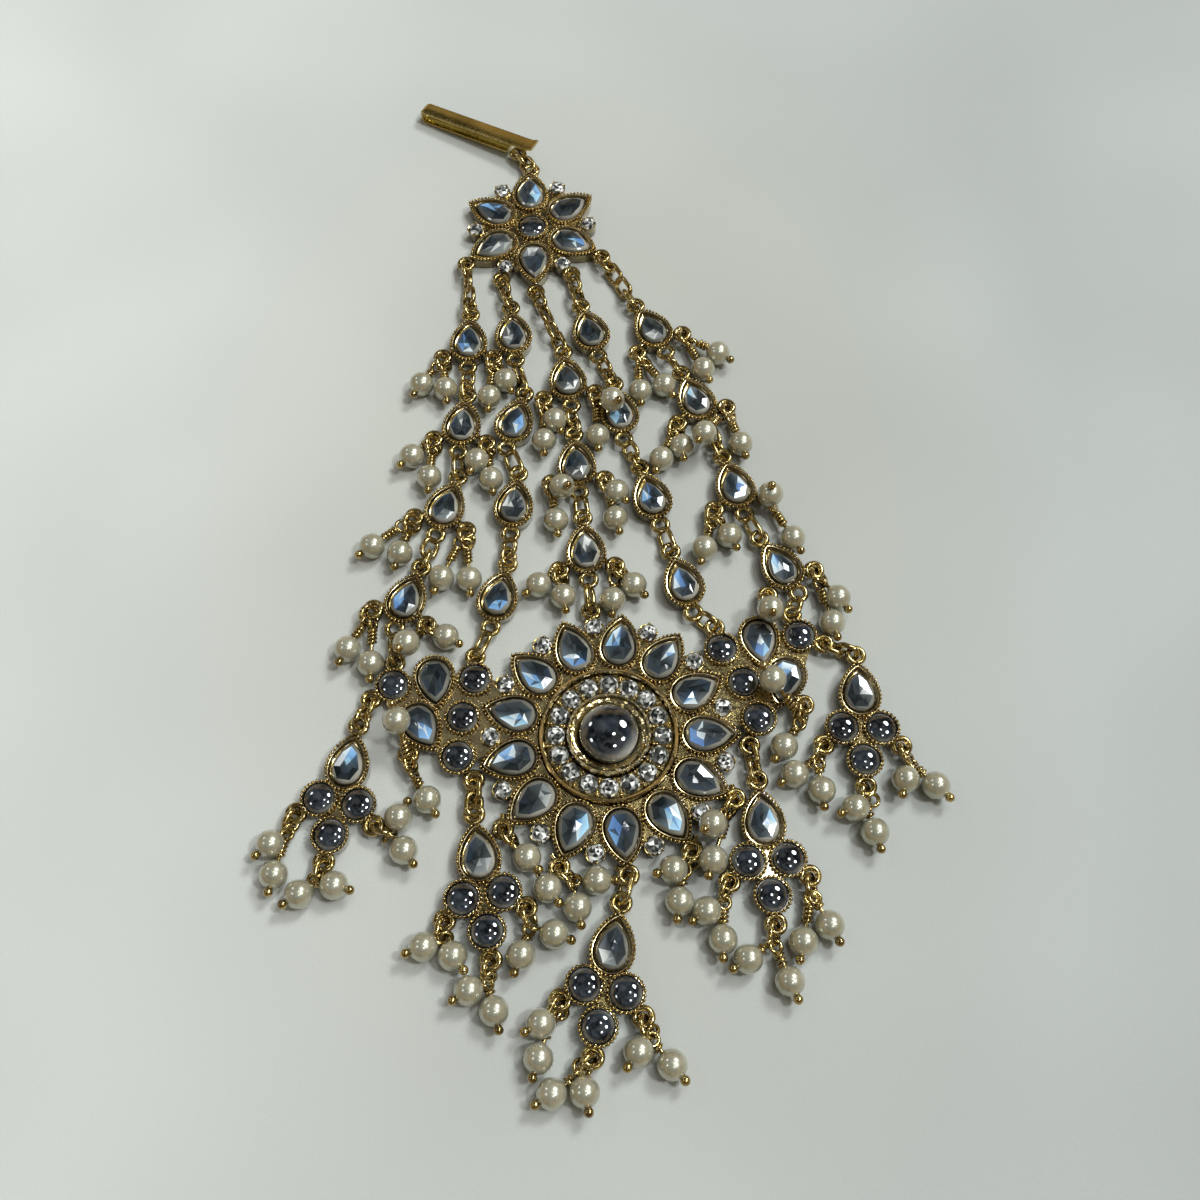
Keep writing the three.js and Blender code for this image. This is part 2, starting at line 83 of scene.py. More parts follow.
def level_patches(node, height):
    """Groups of touching faces that lie level at a height: (corners, faces) of each."""
    patches = []
    for face in faces_of(node):
        if any(abs(point[2] - height) > NEAR for point in face):
            continue
        touching = [patch for patch in patches if patch[0] & set(face)]
        patches = [patch for patch in patches if patch not in touching]
        corners = set(face).union(*(patch[0] for patch in touching))
        faces = sum((patch[1] for patch in touching), [face])
        patches.append((corners, faces))
    return patches


def seats_in(node):
    """The settings of a node, from the level crowns of their stones."""
    seats = []
    for corners, _ in level_patches(node, CROWN_HEIGHT):
        kind = CROWN_KINDS[len(corners)]
        points = [Vector(point[:2]) for point in sorted(corners)]
        middle = sum(points, Vector((0, 0))) / len(points)
        arms = [point - middle for point in points]
        axis = max(arms, key=lambda arm: arm.length)
        length = 2 * axis.length / CROWN_SHARE
        axis = axis.normalized()
        across = [abs(axis.cross(arm)) for arm in arms]
        # A pear is widest towards its foot, so its tip is the other way.
        if sum(arm.dot(axis) * wide for arm, wide in zip(arms, across)) > NEAR:
            axis = -axis
        width = 2 * max(across) / CROWN_SHARE if kind == "pear" else length
        turn = math.atan2(axis.y, axis.x) - math.pi / 2
        seats.append(Seat(kind, Vector((*middle, 0)), turn, width, length))
    return seats


def eyes_in(node):
    """The middles of a node's eyes: three pairs of a hole's corners face each other across it."""
    eyes = []
    for corners, _ in level_patches(node, EYE_TOP):
        middles = [
            (Vector(a) + Vector(b)) / 2
            for a, b in combinations(sorted(corners), 2)
            if abs(math.dist(a, b) - EYE_HOLE) < NEAR
        ]
        for middle in middles:
            votes = [other for other in middles if (other - middle).length < NEAR]
            known = any((eye - middle).length < 1 for eye in eyes)
            if len(votes) > 2 and not known:
                eyes.append(middle)
    return [Vector((eye.x, eye.y, WIRE_HEIGHT)) for eye in eyes]


def rings_in(node):
    """The upright oval rings of a node, from their level tops."""
    rings = []
    for corners, _ in level_patches(node, RING_TOP):
        points = [Vector(point) for point in sorted(corners)]
        middle = sum(points, Vector()) / len(points)
        sides = [b - a for a, b in combinations(points, 2)]
        cut = min(sides, key=lambda side: abs(side.length - RING_WIDTH)).normalized()
        half = max(abs(side.dot(cut.cross(UP))) for side in sides) / 2
        middle.z = WIRE_HEIGHT
        rings.append(Ring(middle, cut.cross(UP), half + RING_RISE))
    return rings


def pins_in(node):
    """The head pins of a node: each pearl's middle, and the way its pin goes through it."""
    meets = {}
    for face in faces_of(node):
        for corner in face:
            meets.setdefault(corner, set()).update(face)
    slope = BALL * math.sqrt(2)
    pins = []
    for tip, around in meets.items():
        edges = [Vector(point) - Vector(tip) for point in sorted(around) if point != tip]
        if len(edges) == PIN_SIDES and all(abs(edge.length - slope) < NEAR for edge in edges):
            way = -sum(edges, Vector()).normalized()
            pins.append(Pin(Vector(tip) - way * (PEARL_RADIUS + 2 * BALL), way))
    return pins


# ---------- Node trees ----------


def socket(sockets, key):
    """The socket with an identifier, or else with a name."""
    return next((own for own in sockets if own.identifier == key), None) or sockets[key]


class Tree:
    """A node tree whose nodes are added by kind and wired by socket."""

    def __init__(self, net):
        self.net = net

    def feed(self, target, value):
        """A value for a socket, or a wire to it from another socket or a node's first one."""
        if isinstance(value, bpy.types.Node):
            value = value.outputs[0]
        if isinstance(value, bpy.types.NodeSocket):
            self.net.links.new(value, target)
        else:
            target.default_value = value

    def add(self, kind, inputs=None, **settings):
        node = self.net.nodes.new(kind)
        for key, value in settings.items():
            setattr(node, key, value)
        for key, value in (inputs or {}).items():
            self.feed(socket(node.inputs, key), value)
        return node

    def ramp(self, factor, *stops):
        """Colours along a factor, each stop (place, colour)."""
        node = self.add("ShaderNodeValToRGB", {"Fac": factor})
        while len(node.color_ramp.elements) < len(stops):
            node.color_ramp.elements.new(0.5)
        for element, (place, colour) in zip(node.color_ramp.elements, stops):
            element.position, element.color = place, colour
        return node

    def vector(self, operation, inputs, output=0):
        return self.add("ShaderNodeVectorMath", inputs, operation=operation).outputs[output]


# ---------- Finishes ----------


def paint(red, green, blue):
    """A colour given in 8-bit steps as it is seen, as the linear colour that shaders use."""
    return tuple((step / 255) ** 2.2 for step in (red, green, blue)) + (1,)


def paints(*steps):
    return [paint(*step) for step in steps]


class Finish(Tree):
    """A material: one shader and what feeds it."""

    def __init__(self, name):
        self.material = bpy.data.materials.new(name)
        self.material.use_nodes = True
        super().__init__(self.material.node_tree)
        self.net.nodes.clear()
        self.shader = self.add("ShaderNodeBsdfPrincipled")
        self.add("ShaderNodeOutputMaterial", {"Surface": self.shader})
        self.place = self.add("ShaderNodeTexCoord").outputs["Object"]

    def set(self, **inputs):
        for key, value in inputs.items():
            self.feed(self.shader.inputs[key.replace("_", " ")], value)

    def noise(self, size, detail=3.0):
        """Noise with features of a size in millimetres."""
        inputs = {"Vector": self.place, "Scale": 1 / (size * MM), "Detail": detail}
        return self.add("ShaderNodeTexNoise", inputs).outputs["Fac"]

    def spread(self, factor, low, high, start=0.3, end=0.7):
        """A factor's range, start to end, brought to low and high."""
        inputs = {"Value": factor, "From Min": start, "From Max": end}
        inputs.update({"To Min": low, "To Max": high})
        return self.add("ShaderNodeMapRange", inputs)

    def mix(self, factor, first, second):
        inputs = {"Factor": factor, "A_Color": first, "B_Color": second}
        node = self.add("ShaderNodeMix", inputs, data_type="RGBA")
        return socket(node.outputs, "Result_Color")

    def times(self, first, second):
        return self.add("ShaderNodeMath", {0: first, 1: second}, operation="MULTIPLY")

    def named(self, attribute, output="Fac"):
        return self.add("ShaderNodeAttribute", attribute_name=attribute).outputs[output]

    def bump(self, height, depth):
        """A bump with its depth in millimetres."""
        inputs = {"Height": height, "Distance": depth * MM, "Strength": 1.0}
        self.set(Normal=self.add("ShaderNodeBump", inputs))


def antique_gold():
    """Gold plate over a casting. Its value is 1 where it is red-brown, partly patina and partly
    painted shade in recesses, and -1 where a painted highlight makes crests pale.
    """
    finish = Finish("antique_gold")
    patina_shade_and_glint = finish.named("patina_shade_and_glint")
    tone = finish.ramp(finish.noise(1.7), (0.3, paint(116, 94, 42)), (0.7, paint(194, 171, 102)))
    # Painted highlight: crests with negative values are mixed towards pale gold.
    painted_sheen = finish.spread(patina_shade_and_glint, 1.0, 0.0, -1.0, 0.0)
    tone = finish.mix(painted_sheen, tone, paint(238, 218, 166))
    # Patina and painted shade: recesses with positive values are mixed towards red-brown.
    deep = finish.spread(patina_shade_and_glint, 0.0, 1.0, 0.0, 1.0)
    tone = finish.mix(deep, tone, paint(62, 44, 22))
    finish.set(Base_Color=tone, Metallic=1.0)
    finish.set(Roughness=finish.spread(finish.noise(0.6), 0.12, 0.3))
    finish.set(Coat_Weight=1.0, Coat_Roughness=0.06, Coat_IOR=1.7)
    ruffled = finish.spread(patina_shade_and_glint, 0.35, 1.6, 0.0, 0.6)
    finish.bump(finish.times(finish.noise(0.5), ruffled), 0.018)
    return finish.material


def hook_bronze():
    """The hook's strip: smooth plate with a fine soft grain."""
    finish = Finish("hook_bronze")
    tone = finish.ramp(finish.noise(4.0), (0.3, paint(156, 140, 82)), (0.75, paint(206, 190, 126)))
    finish.set(Base_Color=tone, Metallic=1.0)
    finish.set(Roughness=finish.spread(finish.noise(0.4), 0.16, 0.32))
    finish.set(Coat_Weight=0.6, Coat_Roughness=0.08)
    finish.bump(finish.noise(0.9), 0.008)
    return finish.material


def foiled_glass():
    """Facets of foil-backed glass. Each facet's colour is a painted reflection, as the foil throws
    light back.
    """
    finish = Finish("foiled_glass")
    kept = 0.88
    tone = finish.vector("SCALE", {0: finish.named("facet", "Color"), "Scale": kept})
    finish.set(Base_Color=tone, Roughness=0.06, IOR=1.6)
    finish.set(Coat_Weight=0.6, Coat_Roughness=0.03)
    finish.bump(finish.noise(1.6, 1.0), 0.03)
    return finish.material


def dark_dome():
    """The round stones: slate-dark domes over foil, with painted light in crescents at their edge.
    """
    finish = Finish("dark_dome")
    deep = finish.ramp(finish.noise(2.0, 1.0), (0.4, paint(19, 22, 25)), (0.66, paint(44, 50, 57)))
    # The edge value mixes pale painted light over the dark glass.
    tone = finish.mix(finish.named("edge"), deep, paint(186, 190, 186))
    finish.set(Base_Color=tone, Roughness=0.04, IOR=1.8)
    finish.set(Coat_Weight=1.0, Coat_Roughness=0.02, Coat_IOR=1.7)
    return finish.material


def pearl_cream():
    """Imitation pearl: a warm cream body under a glossy nacre coat."""
    finish = Finish("pearl_cream")
    body = finish.ramp(finish.noise(2.4), (0.3, paint(164, 162, 141)), (0.7, paint(184, 182, 162)))
    finish.set(Base_Color=body, Roughness=0.3, Metallic=0.6)
    finish.set(Coat_Weight=1.0, Coat_Roughness=0.04, Coat_IOR=1.8)
    return finish.material


# How far the painted shade and bounce light round the jewel reach on the cloth: half its width and
# # half its length.
BOUNCE_SHADE_REACH = (62, 98)


def table_top():
    """A pale cloth with painted shade: darker to the right, and very soft painted shading of folds.
    """
    finish = Finish("table_top")
    across = finish.add("ShaderNodeSeparateXYZ", {"Vector": finish.place}).outputs["X"]
    painted_side_shade = finish.spread(across, 0.0, 1.0, -0.12, 0.08)
    painted_fold_shade = finish.spread(finish.noise(55, 1.0), 0.93, 1.04)
    tone = finish.mix(painted_side_shade, paint(201, 204, 200), paint(153, 157, 154))
    tone = finish.vector("SCALE", {0: tone, "Scale": painted_fold_shade})
    # Painted shade and bounce light: the cloth round the jewel is darker and warmer.
    flat = (1 / (BOUNCE_SHADE_REACH[0] * MM), 1 / (BOUNCE_SHADE_REACH[1] * MM), 0)
    away = finish.vector("MULTIPLY", {0: finish.place, 1: flat})
    away = finish.vector("LENGTH", {0: away}, "Value")
    painted_bounce_shade = finish.vector("MULTIPLY", {0: tone, 1: (0.90, 0.88, 0.83)})
    tone = finish.mix(finish.spread(away, 1.0, 0.0, 0.55, 1.25), tone, painted_bounce_shade)
    finish.set(Base_Color=tone, Roughness=0.6)
    finish.bump(finish.noise(0.5), 0.03)
    return finish.material


GOLD = antique_gold()
BRONZE = hook_bronze()
GLASS = foiled_glass()
DOME = dark_dome()
CREAM = pearl_cream()

# ---------- Shapes ----------


class Shape:
    """Points and faces in millimetres. Each point has a depth value and each face a colour. On gold
    a depth gives patina and painted shade, and a painted highlight where negative; on domes,
    painted light.
    """

    def __init__(self):
        self.points, self.faces, self.depths, self.colours = [], [], [], []

    def add(self, points, faces, depth=0.0, colour=None, place=None):
        start = len(self.points)
        place = place or Matrix.Identity(4)
        self.points += [place @ Vector(point) for point in points]
        self.depths += depth if isinstance(depth, list) else [depth] * len(points)
        self.faces += [[start + i for i in face] for face in faces]
        self.colours += colour if isinstance(colour, list) else [colour] * len(faces)

    def loft(self, rows, depths=None, place=None):
        """Closed rows of equal count, joined, with both ends closed by a point at their middle."""
        count = len(rows[0])
        depths = depths or [0.0] * len(rows)
        points = [point for row in rows for point in row]
        values = [depth for depth in depths for _ in range(count)]
        faces = []
        for level in range(len(rows) - 1):
            for i in range(count):
                a, b = level * count + i, level * count + (i + 1) % count
                faces.append((a, b, b + count, a + count))
        for first, row in ((True, rows[0]), (False, rows[-1])):
            middle = len(points)
            points.append(sum((Vector(point) for point in row), Vector()) / count)
            values.append(depths[0 if first else -1])
            start = 0 if first else count * (len(rows) - 1)
            for i in range(count):
                a, b = start + i, start + (i + 1) % count
                faces.append((b, a, middle) if first else (a, b, middle))
        self.add(points, faces, values, place=place)


def piece(name, points, faces, material, smooth=None):
    """A mesh object in metres, shaded smooth below an angle in degrees if one is given."""
    mesh = bpy.data.meshes.new(name)
    mesh.from_pydata([Vector(point) * MM for point in points], [], faces)
    if smooth is not None:
        mesh.shade_smooth()
        mesh.set_sharp_from_angle(angle=math.radians(smooth))
    mesh.materials.append(material)
    made = bpy.data.objects.new(name, mesh)
    scene.collection.objects.link(made)
    return made


def fit(made, nodes=()):
    """A piece put on the part's body and the nodes that it stands for."""
    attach(made, "root")
    if nodes:
        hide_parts(*nodes)


def toned(name, shape, material, attribute, smooth):
    """A piece whose points' depths are an attribute that its material reads."""
    made = piece(name, shape.points, shape.faces, material, smooth)
    made.data.attributes.new(attribute, "FLOAT", "POINT").data.foreach_set("value", shape.depths)
    return made


def cast(name, shape, nodes=()):
    """A gold casting. A point's depth is its patina and painted shade in recesses, and a painted
    highlight on crests where it is negative.
    """
    fit(toned(name, shape, GOLD, "patina_shade_and_glint", 35), nodes)


def polished(name, shape, nodes=()):
    """Domed stones. A point's depth is how much painted light lies there."""
    fit(toned(name, shape, DOME, "edge", 40), nodes)


# How far a facet's colour runs into its neighbours' at their shared corners.
BLEED = 0.3


def cut(name, shape):
    """Cut stones, their facet colours painted reflections. A face has one colour, or a list of its
    corners' colours, which run together.
    """
    made = piece(name, shape.points, shape.faces, GLASS)
    corners, meets = [], {}
    for face, colour in zip(shape.faces, shape.colours):
        bleed = BLEED if isinstance(colour, list) else 0.0
        for point, own in zip(face, colour if bleed else [colour] * len(face)):
            corners.append((point, Vector(own), bleed))
            meets.setdefault(point, []).append(Vector(own))
    values = []
    for point, own, bleed in corners:
        mean = sum(meets[point], Vector((0, 0, 0, 0))) / len(meets[point])
        values.extend(own.lerp(mean, bleed))
    made.data.attributes.new("facet", "FLOAT_COLOR", "CORNER").data.foreach_set("color", values)
    fit(made)


# How fast a teardrop narrows towards its tip, and its widest half before it is scaled.
SHARPNESS, FULLNESS = 0.6, 0.84
# A pear setting's rows shrink towards a point in its wide part, this share of its length down.
HEART_DOWN = 0.12


def pear_outline(width, length, count):
    """A teardrop with its tip up: a circle's path pinched towards the tip."""
    points = []
    for i in range(count):
        angle = math.tau * i / count
        pinch = math.sin(angle) * abs(math.sin(angle / 2)) ** SHARPNESS / FULLNESS
        points.append(Vector((-pinch * width / 2, math.cos(angle) * length / 2, 0)))
    return points


def circle(radius, count, z=0.0):
    steps = [math.tau * i / count for i in range(count)]
    return [Vector((radius * math.cos(a), radius * math.sin(a), z)) for a in steps]


def outline_of(seat, count):
    if seat.kind == "pear":
        return pear_outline(seat.width, seat.length, count)
    return circle(seat.width / 2, count)


def heart_of(seat):
    """The point that a setting's rows shrink towards."""
    return Vector((0, -HEART_DOWN * seat.length if seat.kind == "pear" else 0, 0))


def row_of(seat, share, z, count):
    """The setting's outline at a share of its size and a height."""
    heart = heart_of(seat)
    return [heart + (point - heart) * share + UP * z for point in outline_of(seat, count)]


def place_of(seat):
    return Matrix.Translation(seat.middle) @ Matrix.Rotation(seat.turn, 4, "Z")


# ---------- Trees for what repeats ----------


def new_tree(name, **inputs):
    """A geometry tree with named inputs, and the sockets that give them."""
    net = bpy.data.node_groups.new(name, "GeometryNodeTree")
    for label, kind in {"Geometry": "Geometry", **inputs, "Material": "Material"}.items():
        kind = "NodeSocket" + kind
        net.interface.new_socket(label.replace("_", " "), in_out="INPUT", socket_type=kind)
    net.interface.new_socket("Geometry", in_out="OUTPUT", socket_type="NodeSocketGeometry")
    tree = Tree(net)
    return tree, tree.add("NodeGroupInput").outputs


def end_tree(tree, given, geometry):
    """Instances made real, smooth and of the given material, as the tree's result."""
    real = tree.add("GeometryNodeRealizeInstances", {"Geometry": geometry})
    smooth = tree.add("GeometryNodeSetShadeSmooth", {"Geometry": real})
    inputs = {"Geometry": smooth, "Material": given["Material"]}
    tree.add("NodeGroupOutput", {"Geometry": tree.add("GeometryNodeSetMaterial", inputs)})
    return tree.net


def instances(tree, points, mesh, **inputs):
    inputs.update({"Points": points, "Instance": mesh})
    return tree.add("GeometryNodeInstanceOnPoints", inputs)


def beading_tree():
    """Beads set side by side along each edge of a mesh."""
    tree, given = new_tree("beading", Bead_Radius="Float", Spacing="Float")
    path = tree.add("GeometryNodeMeshToCurve", {"Mesh": given["Geometry"]})
    inputs = {"Curve": path, "Length": given["Spacing"]}
    spaced = tree.add("GeometryNodeResampleCurve", inputs, mode="LENGTH")
    inputs = {"Radius": given["Bead Radius"], "Segments": 7, "Rings": 5}
    bead = tree.add("GeometryNodeMeshUVSphere", inputs)
    return end_tree(tree, given, instances(tree, spaced, bead))


def wire_tree():
    """Round wire along each edge of a mesh, as thick as the edge's own `wire` radius."""
    tree, given = new_tree("wire", Sides="Int")
    path = tree.add("GeometryNodeMeshToCurve", {"Mesh": given["Geometry"]})
    radius = tree.add("GeometryNodeInputNamedAttribute", {"Name": "wire"}, data_type="FLOAT")
    inputs = {"Resolution": given["Sides"], "Radius": 1.0}
    section = tree.add("GeometryNodeCurvePrimitiveCircle", inputs)
    inputs = {"Curve": path, "Profile Curve": section, "Scale": radius, "Fill Caps": True}
    return end_tree(tree, given, tree.add("GeometryNodeCurveToMesh", inputs))


def pearl_tree():
    """A ball at each point of a mesh, its poles along the point's own `way`."""
    tree, given = new_tree("pearls", Radius="Float", Segments="Int")
    inputs = {"Radius": given["Radius"], "Segments": given["Segments"], "Rings": 14}
    ball = tree.add("GeometryNodeMeshUVSphere", inputs)
    way = tree.add("GeometryNodeInputNamedAttribute", {"Name": "way"}, data_type="FLOAT_VECTOR")
    turn = tree.add("FunctionNodeAlignRotationToVector", {"Vector": way}, axis="Z")
    return end_tree(tree, given, instances(tree, given["Geometry"], ball, Rotation=turn))


def grain_tree():
    """Grains of mixed sizes scattered over a surface, from a fixed seed."""
    tree, given = new_tree("granulation", Grain_Radius="Float", Density="Float", Seed="Int")
    inputs = {"Mesh": given["Geometry"], "Density": given["Density"], "Seed": given["Seed"]}
    points = tree.add("GeometryNodeDistributePointsOnFaces", inputs, distribute_method="RANDOM")
    inputs = {"Radius": given["Grain Radius"], "Subdivisions": 1}
    grain = tree.add("GeometryNodeMeshIcoSphere", inputs)
    inputs = {"Min_001": 0.5, "Max_001": 1.3, "Seed": given["Seed"]}
    size = tree.add("FunctionNodeRandomValue", inputs, data_type="FLOAT")
    size = socket(size.outputs, "Value_001")
    return end_tree(tree, given, instances(tree, points, grain, Scale=size))


BEADING, WIRE, PEARLS, GRAINS = beading_tree(), wire_tree(), pearl_tree(), grain_tree()


def grow(name, mesh, tree, material, **inputs):
    """A tree's result on a mesh, as a plain mesh object."""
    source = bpy.data.objects.new(name + "_source", mesh)
    scene.collection.objects.link(source)
    modifier = source.modifiers.new(tree.name, "NODES")
    modifier.node_group = tree
    inputs["Material"] = material
    for item in tree.interface.items_tree:
        if item.in_out == "INPUT" and item.name.replace(" ", "_") in inputs:
            modifier[item.identifier] = inputs[item.name.replace(" ", "_")]
    bpy.context.view_layer.update()
    evaluated = source.evaluated_get(bpy.context.evaluated_depsgraph_get())
    made = bpy.data.objects.new(name, bpy.data.meshes.new_from_object(evaluated))
    made.data.name = name
    bpy.data.objects.remove(source)
    scene.collection.objects.link(made)
    return made


def lines(name, paths):
    """A mesh of edges along paths, each (points, closed, wire radius), in metres."""
    points, edges, radii = [], [], []
    for path, closed, radius in paths:
        start = len(points)
        points += [Vector(point) * MM for point in path]
        radii += [radius * MM] * len(path)
        edges += [(start + i, start + i + 1) for i in range(len(path) - 1)]
        if closed:
            edges.append((len(points) - 1, start))
    mesh = bpy.data.meshes.new(name)
    mesh.from_pydata(points, edges, [])
    mesh.attributes.new("wire", "FLOAT", "POINT").data.foreach_set("value", radii)
    return mesh


def wires(name, paths):
    fit(grow(name, lines(name + "_lines", paths), WIRE, GOLD, Sides=8))


def beading(name, paths):
    mesh = lines(name + "_lines", [(path, True, BEAD) for path in paths])
    inputs = {"Bead_Radius": BEAD * MM, "Spacing": BEAD_SPACING * MM}
    fit(grow(name, mesh, BEADING, GOLD, **inputs))


def balls(name, pins, reach, radius, segments, material=GOLD):
    """A ball on each pin, a distance beyond its pearl's middle."""
    mesh = bpy.data.meshes.new(name + "_points")
    mesh.from_pydata([(pin.pearl + pin.way * reach) * MM for pin in pins], [], [])
    ways = mesh.attributes.new("way", "FLOAT_VECTOR", "POINT")
    ways.data.foreach_set("vector", [value for pin in pins for value in pin.way])
    return grow(name, mesh, PEARLS, material, Radius=radius * MM, Segments=segments)


# ---------- Settings and stones ----------

# A setting's section, from its back up its wall, over the beaded edge and down into the cup that
# the stone sits in: share of the outline, height, and its patina and painted shade, or a painted
# highlight on the crest where it is negative.
PEAR_WALL = [
    (0.93, 0.0, 0.6), (0.98, 0.25, 0.4), (0.98, 1.7, 0.3), (0.99, 1.9, 0.4), (0.97, 2.0, 1.0),
    (0.92, 2.05, 1.0), (0.895, 2.3, 0.2), (0.87, 2.47, -0.8), (0.845, 2.45, -0.8),
    (0.825, 2.25, 0.5), (0.80, 2.1, 0.8), (0.74, 1.98, 0.4), (0.66, 1.9, 0.5), (0.56, 1.85, 0.8),
    (0.4, 1.8, 0.9),
]
ROUND_WALL = [
    (0.88, 0.0, 0.6), (0.95, 0.25, 0.4), (0.95, 1.8, 0.3), (0.98, 1.95, 0.4), (0.96, 2.0, 1.0),
    (0.91, 2.1, 1.0), (0.895, 2.36, -0.6), (0.87, 2.38, -0.4), (0.855, 2.2, 0.6),
    (0.845, 1.9, 0.9),
]
SMALL_WALL = [
    (0.88, 0.0, 0.9), (0.96, 0.25, 0.8), (0.96, 1.9, 0.4), (1.0, 2.1, 0.0), (0.97, 2.25, 0.0),
    (0.90, 2.2, 0.3), (0.88, 1.9, 1.0),
]
WALLS = {"pear": (PEAR_WALL, 40), "round": (ROUND_WALL, 32), "small": (SMALL_WALL, 20)}
# The row of beads on a setting's edge: share of the outline, height, and the beads themselves.
BEADED_EDGE = {"pear": (0.957, 2.32), "round": (0.95, 2.32)}
EDGE_STEPS, BEAD, BEAD_SPACING = 48, 0.28, 0.62
# Claws end in small balls: their height, radius and segments.
CLAW_HEIGHT, CLAW_BALL, FINE = 2.35, 0.24, 8

# What the stones throw back, dark or lit: dark glass, and painted reflections where a facet is lit.
SLATE = paints((32, 37, 39), (44, 50, 52), (62, 68, 69), (26, 30, 32), (50, 60, 70))
SHINE = paints((122, 168, 216), (160, 204, 230), (98, 136, 192), (220, 234, 238))
SILVER = paints((124, 131, 132), (168, 173, 170), (98, 106, 108), (222, 224, 220))
BAND = paints((112, 111, 103), (98, 98, 92), (128, 126, 118))
# The small stones' facets: dark glass and painted glints.
SPARKLE = paints(
    (38, 40, 40), (56, 58, 57), (80, 82, 80), (108, 110, 106),
    (140, 142, 137), (250, 250, 246), (176, 178, 172), (66, 68, 67),
)
# How often a pear stone's lit facets are blue, silver or none.
BLUE, SILVERY = 0.5, 0.85

# How far a stone leans in its cup, in radians, and the height that it leans about.
ROCK, STONE_LEVEL = 0.06, 2.2
# A pear stone's size in its cup, as a share of the cup's outline.
STONE_SHARE = {"strand": 0.66, "drop": 0.7, "flower": 0.71, "medallion": 0.74}
# Its frosted band, then the edge, ring and tip of its facets: share of the stone, and height.
FROSTED = [(0.98, 1.75), (1.0, 2.1), (0.95, 2.34), (0.86, 2.5)]
FACET_SIDES, FACET_EDGE, FACET_RING, FACET_TIP = 7, (0.85, 2.53), (0.4, 2.71), 2.77
# Each side's three facets: how far they turn from its middle, and their corners' strengths, which
# # paint the facets lighter or darker.
FACETS = [(0.0, (1.2, 1.2, 0.8)), (0.2, (1.1, 0.8, 0.8)), (0.0, (1.0, 1.0, 0.7))]
# A round stone's share of its cup, and its dome; its clear is how strong the painted light at
# # its edge is.
ROUND_SHARE = 0.83
ROUND_STONE = {"foot": 1.7, "girdle": 2.05, "height": 0.95, "count": 32, "levels": 8, "clear": 0.4}
# The painted light on a dome's edge lies towards this way and away from it.
PAINTED_LIGHT_WAY = math.radians(132)
# A small stone's share of its cup and its floor. Then its back, girdle, crown and table: corners
# to a side, share of its radius, and height over the floor.
SMALL_SHARE, SMALL_FLOOR, SMALL_SIDES = 0.92, 2.1, 8
SMALL_STONE = [(2, 0.9, -0.3), (2, 1.0, 0.1), (1, 0.78, 0.42), (1, 0.5, 0.6)]


def faded(colour, share):
    return tuple(value * share for value in colour[:3]) + (1,)


def setting(shape, seat):
    wall, count = WALLS[seat.kind]
    rows = [row_of(seat, share, z, count) for share, z, _ in wall]
    shape.loft(rows, [depth for _, _, depth in wall], place_of(seat))


def edge_path(seat):
    share, z = BEADED_EDGE[seat.kind]
    return [place_of(seat) @ point for point in row_of(seat, share, z, EDGE_STEPS)]


def rocked(seat):
    """A stone's place in its cup, never quite level."""
    tilt = Matrix.Rotation(chance.uniform(-ROCK, ROCK), 4, "X")
    tilt @= Matrix.Rotation(chance.uniform(-ROCK, ROCK), 4, "Y")
    level = Matrix.Translation(UP * STONE_LEVEL)
    return place_of(seat) @ level @ tilt @ level.inverted()


def foil():
    """A foil that lights up the facets that lie one way, as painted reflection: the colour it gives
    at an angle.
    """
    lit = chance.uniform(0, math.tau)
    spread = chance.uniform(0.55, 1.1)
    draw = chance.random()
    bright = SHINE if draw < BLUE else SILVER if draw < SILVERY else SLATE

    def shade(angle):
        off = abs((angle - lit + math.pi) % math.tau - math.pi)
        return chance.choice(bright if off < spread else SLATE)

    return shade


def faceted_pear(shape, seat, size):
    """A frosted band round the edge, and two rings of facets up to a point over the wide part."""
    shade = foil()
    sides = FACET_SIDES
    share, z = FACET_EDGE
    points = row_of(seat, share * size, z, 2 * sides)[::2]
    share, z = FACET_RING
    for point in row_of(seat, share * size, z, sides):
        points.append(Matrix.Rotation(chance.uniform(-0.1, 0.1), 4, "Z") @ point)
    off = Vector((chance.uniform(-0.2, 0.2), chance.uniform(-0.3, 0.4), FACET_TIP))
    points.append(heart_of(seat) + off)
    faces, colours = [], []
    for i in range(sides):
        after = (i + 1) % sides
        faces += [(i, after, sides + after), (i, sides + after, sides + i)]
        faces.append((sides + i, sides + after, 2 * sides))
        angle = math.tau * (i + 0.5) / sides
        for turn, shares in FACETS:
            colour = shade(angle + turn)
            colours.append([faded(colour, share) for share in shares])
    place = rocked(seat)
    frosted_band(shape, seat, size, place)
    shape.add(points, faces, 0.0, colours, place)


def frosted_band(shape, seat, size, place):
    """The frosted edge of a pear stone, with painted light on one side."""
    band = Shape()
    band.loft([row_of(seat, share * size, z, 4 * FACET_SIDES) for share, z in FROSTED])
    tone, clear = chance.choice(BAND), -seat.turn - math.pi / 6
    glow = []
    # Painted light: clear is the way the band is brightened towards.
    for point in band.points:
        towards = math.cos(math.atan2(point.y, point.x) - clear)
        glow.append(0.7 + 0.9 * max(0.0, towards))
    tones = [[faded(tone, glow[i]) for i in face] for face in band.faces]
    shape.add(band.points, band.faces, 0.0, tones, place)


